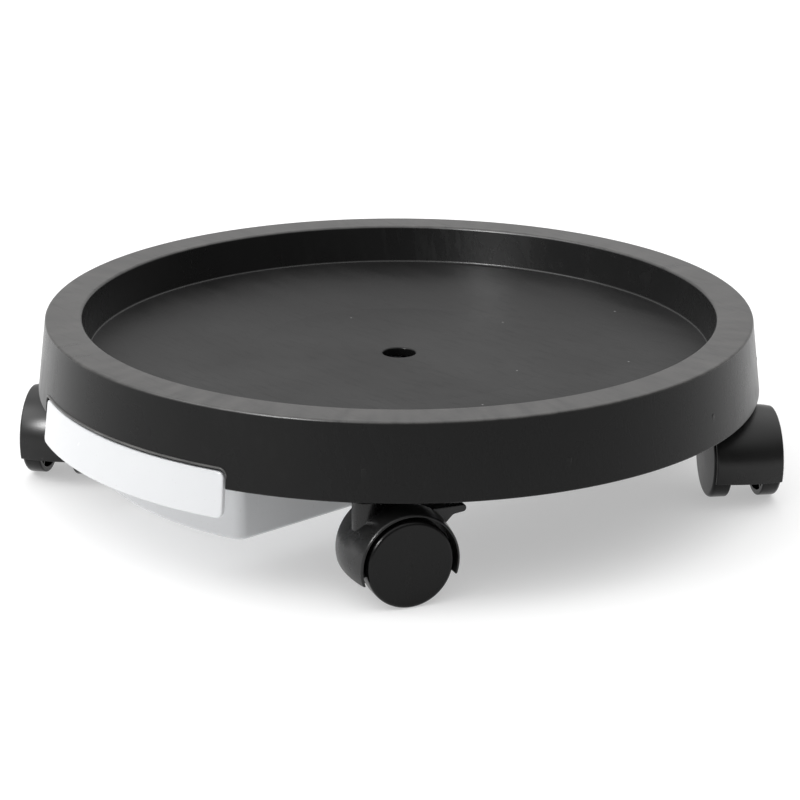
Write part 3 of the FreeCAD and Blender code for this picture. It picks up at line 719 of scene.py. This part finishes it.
def build_levers():
    """Brake levers: rounded tongues, drawn along the trail and up from the axle."""
    for corner in BRAKED:
        axle = Vector(JOINTS["roll_a_" + corner]["pos_m"])
        stem = Vector(JOINTS["swivel_" + corner]["pos_m"])
        along = (axle - stem).normalized()
        across = Vector((0, 0, 1)).cross(along)
        outline = rounded([(u * MM, v * MM, radius * MM) for u, v, radius in LEVER_OUTLINE_MM], 6)
        rings = []
        for y in (-LEVER_HALF, LEVER_HALF):
            rings.append([axle + along * p.x + across * y + Vector((0, 0, p.y)) for p in outline])
        node = "brake_lever_" + corner
        lever = make_piece("brake_tongue_" + corner, swept(rings), "brake_" + corner, [node])
        add_bevel(lever, 0.5 * MM, 3)


# ---------------------------------------------------------------- scene

VIEW_AZIMUTH = math.radians(48.3)       # measured from -Y towards +X
VIEW_ELEVATION = math.radians(16.59)
VIEW_DISTANCE = 1.2606                  # from the centre of the rim's top
VIEW_DIP = math.radians(2.0525)         # the axis passes this far below the rim's centre
VIEW_PAN = math.radians(-0.024)
VIEW_ROLL = math.radians(0.179)
LENS_MM = 116.87
SENSOR_MM = 36.0

CAMERA_SIDE = 0.10                      # studio brightness low down behind the camera
BACKDROP = 0.72                         # behind and beside the object
CEILING = 1.25                          # added overhead
DARK_TURN = math.radians(38)            # the dim side is turned this far to the camera's right
SHADOW_LIFT = 0.42                      # the studio floor's own glow, which keeps its shadows light


def build_camera():
    """Camera at the photograph's viewing angle, aimed a little below the rim."""
    target = Vector((0, 0, RIM_Z))
    toward = Vector((math.sin(VIEW_AZIMUTH) * math.cos(VIEW_ELEVATION),
                     -math.cos(VIEW_AZIMUTH) * math.cos(VIEW_ELEVATION), math.sin(VIEW_ELEVATION)))
    pitch = VIEW_ELEVATION + VIEW_DIP
    facing = VIEW_AZIMUTH + VIEW_PAN
    level_way = Vector((-math.sin(facing), math.cos(facing), 0))
    forward = level_way * math.cos(pitch) - Vector((0, 0, math.sin(pitch)))
    level = forward.cross(Vector((0, 0, 1))).normalized()
    upward = level.cross(forward)
    right = level * math.cos(VIEW_ROLL) + upward * math.sin(VIEW_ROLL)
    data = bpy.data.cameras.new("camera")
    data.lens = LENS_MM
    data.sensor_width = SENSOR_MM
    data.clip_end = 50
    camera = bpy.data.objects.new("camera", data)
    placing = Matrix((right, right.cross(forward), -forward)).transposed().to_4x4()
    placing.translation = target + toward * VIEW_DISTANCE
    camera.matrix_world = placing
    bpy.context.scene.collection.objects.link(camera)
    bpy.context.scene.camera = camera
    return camera


def build_world(camera):
    """Soft studio: bright behind, beside and above the object, dim low down on the camera's side."""
    forward = camera.matrix_world.to_3x3() @ Vector((0, 0, -1))
    away = Matrix.Rotation(DARK_TURN, 3, "Z") @ Vector((forward.x, forward.y, 0)).normalized()
    world = bpy.data.worlds.new("studio")
    bpy.context.scene.world = world
    world.use_nodes = True
    tree = world.node_tree

    def node(kind, operation=None, inputs=()):
        made = tree.nodes.new(kind)
        if operation:
            made.operation = operation
        for key, value in enumerate(inputs):
            if isinstance(value, bpy.types.NodeSocket):
                tree.links.new(value, made.inputs[key])
            elif value is not None:
                made.inputs[key].default_value = value
        return made

    direction = tree.nodes.new("ShaderNodeTexCoord").outputs["Generated"]
    facing = node("ShaderNodeVectorMath", "DOT_PRODUCT", (direction, away)).outputs["Value"]
    height = node("ShaderNodeSeparateXYZ", None, (direction,)).outputs["Z"]
    backdrop = node("ShaderNodeMapRange", None, (facing, -0.7, 0.05, CAMERA_SIDE, BACKDROP))
    backdrop.interpolation_type = "SMOOTHSTEP"
    ceiling = node("ShaderNodeMapRange", None, (height, 0.35, 0.9, 0.0, CEILING))
    ceiling.interpolation_type = "SMOOTHSTEP"
    total = node("ShaderNodeMath", "ADD", (backdrop.outputs["Result"], ceiling.outputs["Result"]))
    tree.links.new(total.outputs[0], tree.nodes["Background"].inputs["Strength"])
    tree.nodes["Background"].inputs["Color"].default_value = (1, 1, 1, 1)


def build_floor():
    """Pale studio floor under the wheels, clear when seen from below."""
    ground = min(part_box(f"castor_wheel_{label}_{corner}")[0].z for label in "ab" for corner in CORNERS)
    reach = 12.0
    signs = ((-1, -1), (1, -1), (1, 1), (-1, 1))
    mesh = bpy.data.meshes.new("studio_floor")
    mesh.from_pydata([(x * reach, y * reach, ground - 0.02 * MM) for x, y in signs], [], [(0, 1, 2, 3)])
    floor = bpy.data.objects.new("studio_floor", mesh)
    bpy.context.scene.collection.objects.link(floor)
    s = Shader("studio_floor")
    paper = s.mix(s.noise(1.5, 2.0), rgb(0.58), rgb(0.60))
    s.finish(paper, 0.85, s.bump(s.noise(400.0), 0.02 * MM, 0.2), Specular_IOR_Level=0.1,
             Emission_Color=rgb(1.0), Emission_Strength=SHADOW_LIFT)
    clear = s.node("ShaderNodeBsdfTransparent").outputs[0]
    below = s.node("ShaderNodeNewGeometry").outputs["Backfacing"]
    one_way = s.node("ShaderNodeMixShader", {0: below, 1: s.surface.outputs[0], 2: clear}).outputs[0]
    s.feed(s.tree.nodes["Material Output"].inputs["Surface"], one_way)
    mesh.materials.append(s.material)


def build_light(name, bearing, height, distance, size, power, shines=True):
    """Soft square lamp aimed at the deck. One that doesn't shine is only seen as a highlight."""
    data = bpy.data.lights.new(name, "AREA")
    data.size = size
    data.energy = power
    lamp = bpy.data.objects.new(name, data)
    lamp.location = (distance * math.sin(bearing), -distance * math.cos(bearing), height)
    lamp.rotation_euler = (-lamp.location).to_track_quat("-Z", "Y").to_euler()
    lamp.visible_diffuse = shines
    bpy.context.scene.collection.objects.link(lamp)


def dress_cad_nodes():
    """Gives every CAD node its finished material."""
    for node, thing in frame["nodes"].items():
        thing.data.materials.clear()
        thing.data.materials.append(MATERIALS[SLOTS[node]])
        thing.data.polygons.foreach_set("material_index", [0] * len(thing.data.polygons))


dress_cad_nodes()
build_deck()
build_drawer()
build_wheels()
build_levers()
build_world(build_camera())
build_floor()
build_light("left_lamp", VIEW_AZIMUTH - math.radians(75), 1.3, 1.5, 1.0, 10.0)
build_light("highlight_lamp", VIEW_AZIMUTH - math.radians(37), 0.83, 1.5, 0.3, 32.0, shines=False)
bpy.context.scene.view_settings.view_transform = "Standard"
